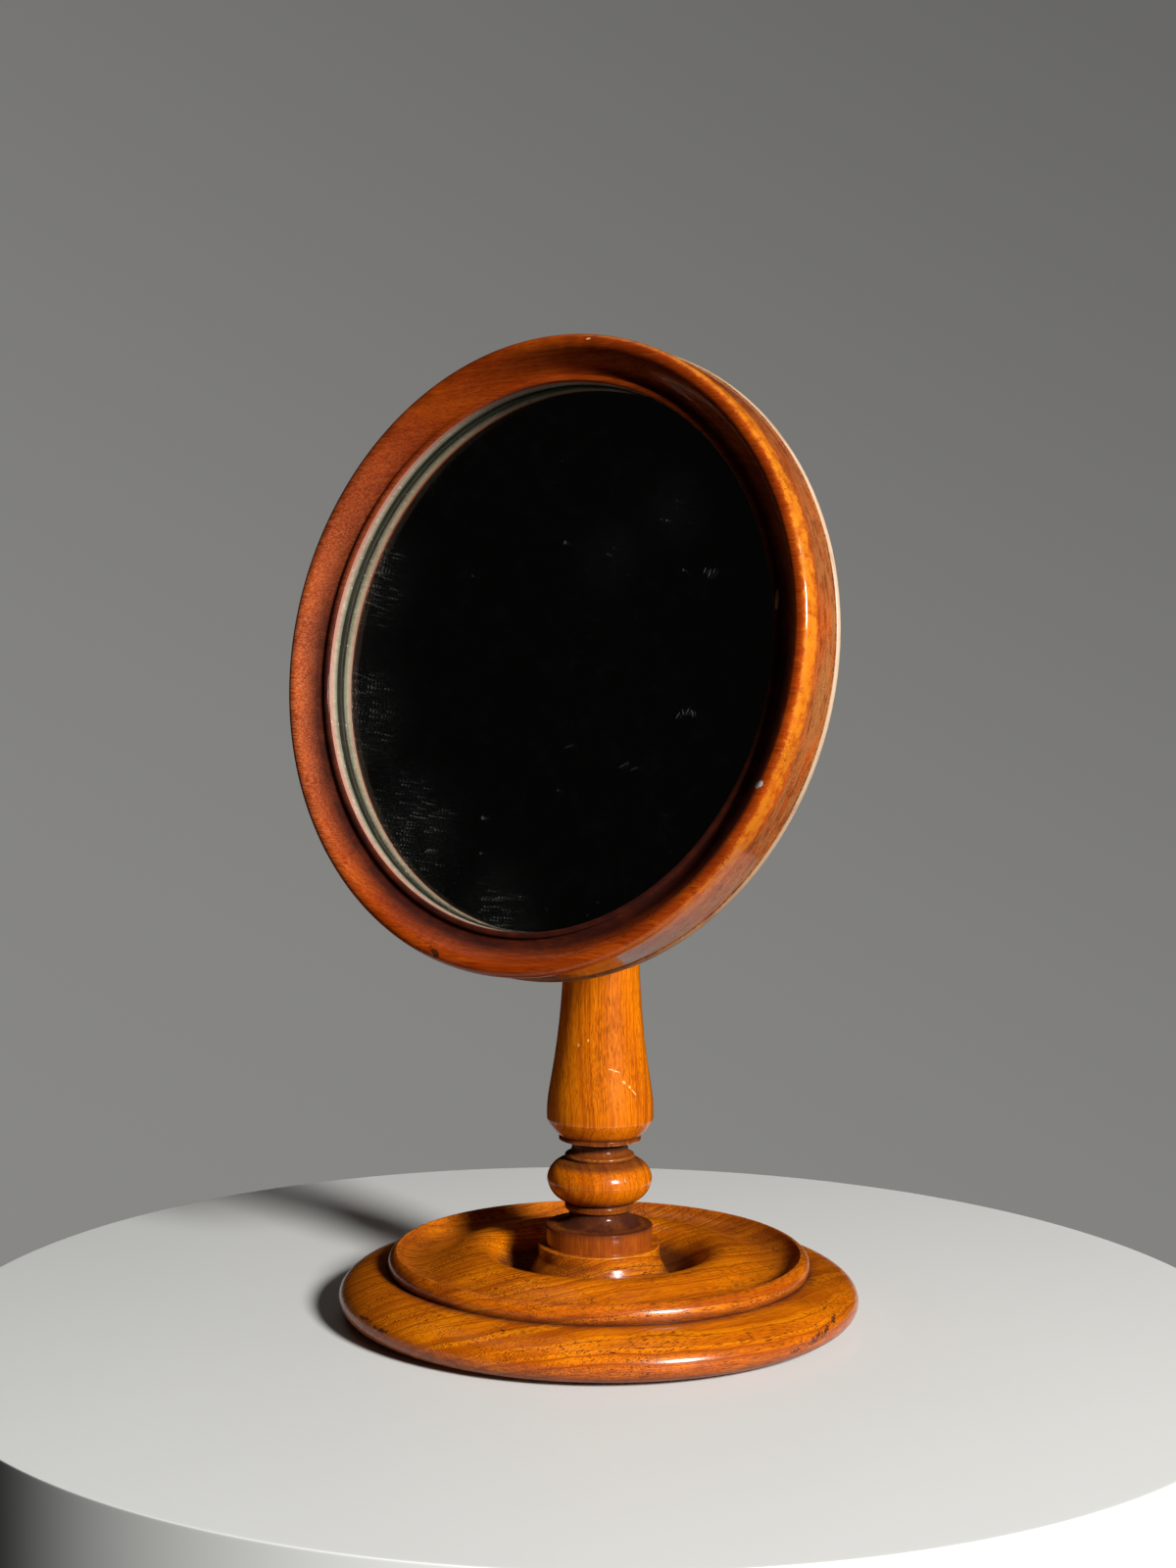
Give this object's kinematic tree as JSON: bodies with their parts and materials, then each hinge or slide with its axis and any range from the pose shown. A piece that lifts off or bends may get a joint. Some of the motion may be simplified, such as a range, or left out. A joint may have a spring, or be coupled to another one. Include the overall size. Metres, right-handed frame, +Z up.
{
  "type": "vanity mirror",
  "caption": "Round turned-wood table mirror that tilts on a slotted ball-head column above a dished, round-edged base.",
  "frame": {"origin": "centre of the base underside, on the table, on the column axis", "axes": "+Z up along the column; the mirror faces -Y; +X is the thumb nut's side"},
  "size_m": [0.2258, 0.1894, 0.3509],
  "materials": {
    "turned_mahogany": "french polished",
    "board_mahogany": "waxed",
    "pale_slip": "painted, aged",
    "deal_blocks": "raw",
    "paper": "matte",
    "brass": "aged, satin",
    "steel_screws": "blued, worn",
    "leather": "matte",
    "baize": "matte",
    "glass": "polished",
    "silver": "foxed"
  },
  "bodies": {
    "stand": {"base_disc": "turned_mahogany", "base_baize": "baize", "column": "turned_mahogany", "column_screw": "steel_screws", "pivot_bolt": "brass", "cheek_washers": "brass", "friction_washers": "leather"},
    "mirror": {"frame_ring": "turned_mahogany", "sight_slip": "pale_slip", "mirror_glass": "glass", "silvering": "silver", "backing_paper": "paper", "glazing_blocks": "deal_blocks", "back_board": "board_mahogany", "back_board_screws": "brass", "back_boss": "turned_mahogany", "hinge_bracket": "brass", "hinge_screws": "brass"},
    "nut": {"thumb_nut": "brass"}
  },
  "joints": [
    {"name": "mirror_tilt", "type": "hinge", "parent": "stand", "child": "mirror", "pos_m": [0, 0, 0.2334], "axis": [-1, 0, 0], "range_deg": [-13, 75]},
    {"name": "nut_turn", "type": "hinge", "parent": "stand", "child": "nut", "pos_m": [0, 0, 0.2334], "axis": [1, 0, 0], "continuous": true}
  ]
}
